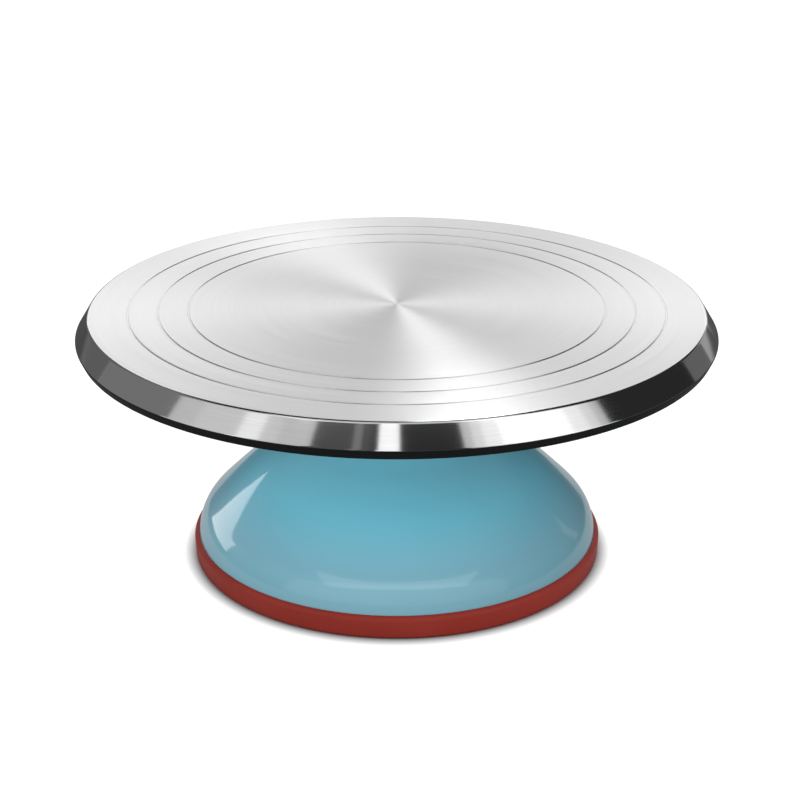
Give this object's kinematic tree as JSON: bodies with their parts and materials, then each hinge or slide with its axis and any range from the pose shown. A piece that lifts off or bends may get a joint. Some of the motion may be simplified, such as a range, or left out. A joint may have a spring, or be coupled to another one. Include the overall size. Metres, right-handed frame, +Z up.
{
  "type": "cake turntable",
  "caption": "Revolving cake stand: grooved round metal plate with a bevelled rim that spins on ball bearings in a glossy bell-shaped base with a grippy silicone ring.",
  "frame": {"origin": "centre of the silicone ring's underside, on the counter", "axes": "+Z up along the spin axis; X and Y lie in the counter's plane"},
  "size_m": [0.3046, 0.3046, 0.126],
  "materials": {
    "spun_aluminium": "circular brushed top, polished bevel",
    "turned_aluminium": "machined satin",
    "turned_steel": "turned",
    "plated_screw_steel": "zinc plated",
    "spring_steel": "blued",
    "blue_enamel": "high gloss",
    "red_silicone": "matte",
    "grey_moulded_plastic": "fine spark texture",
    "black_rubber": "matte",
    "bearing_steel": "ground",
    "polished_balls": "mirror",
    "brass_cage": "pressed"
  },
  "bodies": {
    "base": {"base_shell": "blue_enamel", "non_slip_ring": "red_silicone", "bottom_cover": "grey_moulded_plastic", "cover_screws": "plated_screw_steel", "bearing_housing": "turned_aluminium", "housing_screws": "plated_screw_steel", "preload_washer": "spring_steel", "housing_retaining_ring": "spring_steel", "bearing_cap": "turned_steel", "upper_outer_race": "bearing_steel", "lower_outer_race": "bearing_steel", "upper_bearing_seals": "black_rubber", "lower_bearing_seals": "black_rubber"},
    "platter": {"turntable_plate": "spun_aluminium", "spindle": "turned_steel", "spindle_screws": "plated_screw_steel", "dust_ring": "black_rubber", "inner_spacer": "turned_steel", "spindle_washer": "turned_steel", "spindle_retaining_ring": "spring_steel", "upper_inner_race": "bearing_steel", "lower_inner_race": "bearing_steel"},
    "upper_cage": {"upper_bearing_cage": "brass_cage", "upper_bearing_balls": "polished_balls"},
    "lower_cage": {"lower_bearing_cage": "brass_cage", "lower_bearing_balls": "polished_balls"}
  },
  "joints": [
    {"name": "platter_spin", "type": "hinge", "parent": "base", "child": "platter", "pos_m": [0, 0, 0.0835], "axis": [0, 0, 1], "continuous": true},
    {"name": "upper_cage_spin", "type": "hinge", "parent": "base", "child": "upper_cage", "pos_m": [0, 0, 0.1005], "axis": [0, 0, 1], "continuous": true},
    {"name": "lower_cage_spin", "type": "hinge", "parent": "base", "child": "lower_cage", "pos_m": [0, 0, 0.066], "axis": [0, 0, 1], "continuous": true}
  ],
  "couplings": [
    {"joint": "upper_cage_spin", "follows": "platter_spin", "ratio": 0.386},
    {"joint": "lower_cage_spin", "follows": "platter_spin", "ratio": 0.386}
  ]
}
